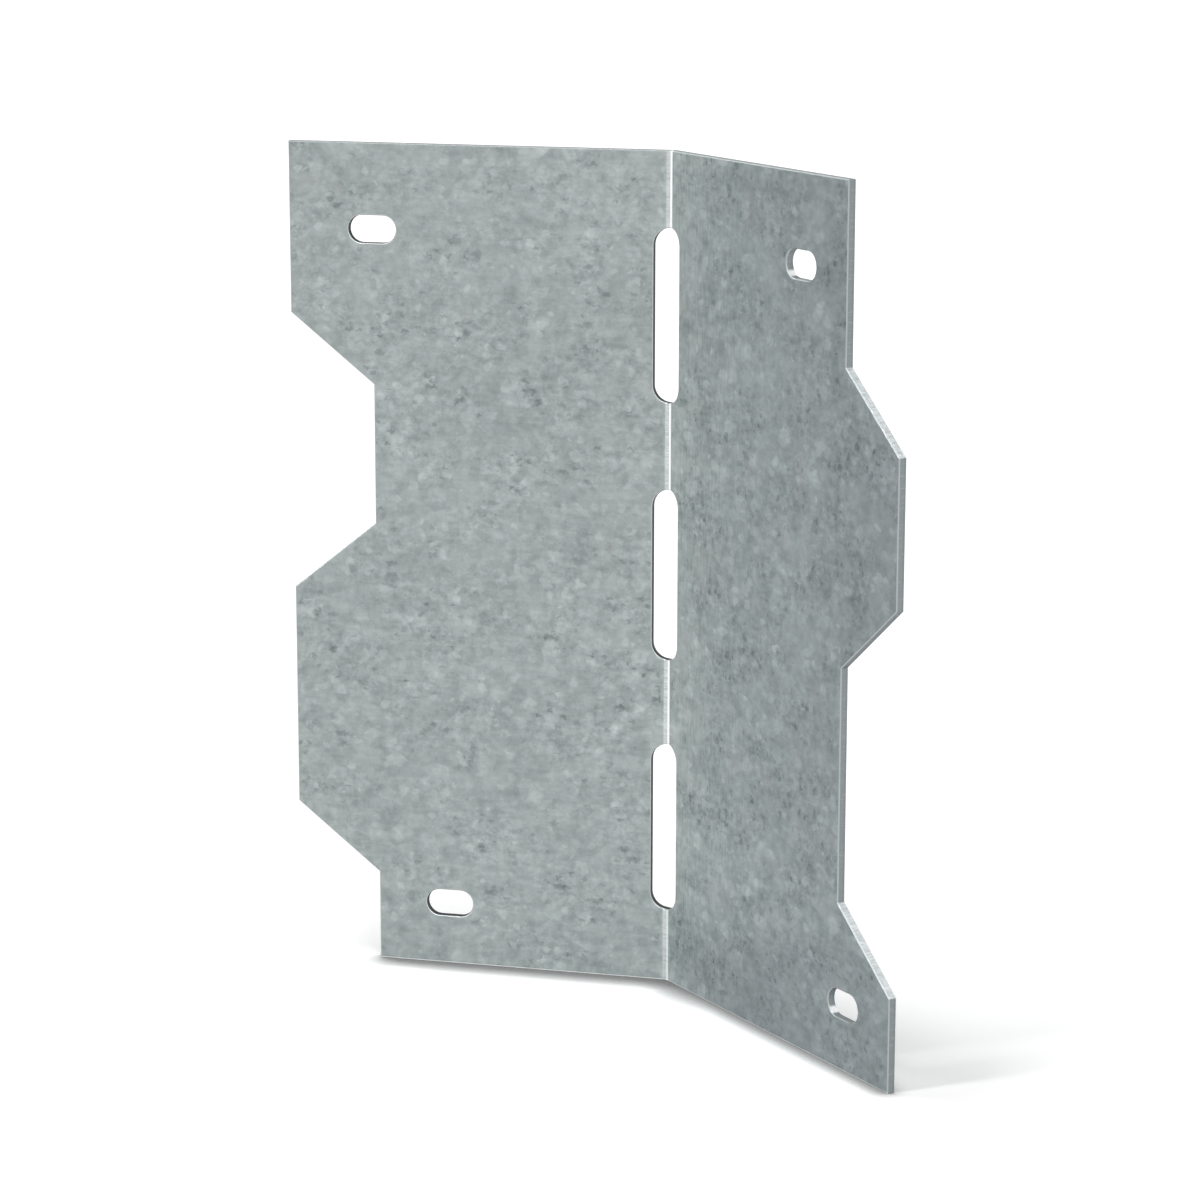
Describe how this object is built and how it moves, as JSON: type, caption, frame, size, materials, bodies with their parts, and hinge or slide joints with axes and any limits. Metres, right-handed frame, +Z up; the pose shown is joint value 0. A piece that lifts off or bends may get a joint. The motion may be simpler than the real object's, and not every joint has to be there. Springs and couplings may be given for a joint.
{
  "type": "reinforcing angle",
  "caption": "Galvanised steel angle folded to an obtuse corner, with stepped legs, obround fastener holes and relief slots along the fold, for tying framing members that meet at a skew.",
  "frame": {"origin": "where the outer faces of the two legs would meet in a sharp corner, at the bottom edge", "axes": "+Z up the fold, +Y out of the left leg's outer face, so the left leg runs along -X and the right leg turns 45 degrees towards -Y"},
  "size_m": [0.0987, 0.0417, 0.1238],
  "materials": {
    "galvanised_steel": "galvanised sheet with a fine, low-contrast mottle, satin"
  },
  "bodies": {
    "root": {"angle_plate": "galvanised_steel"}
  },
  "joints": []
}
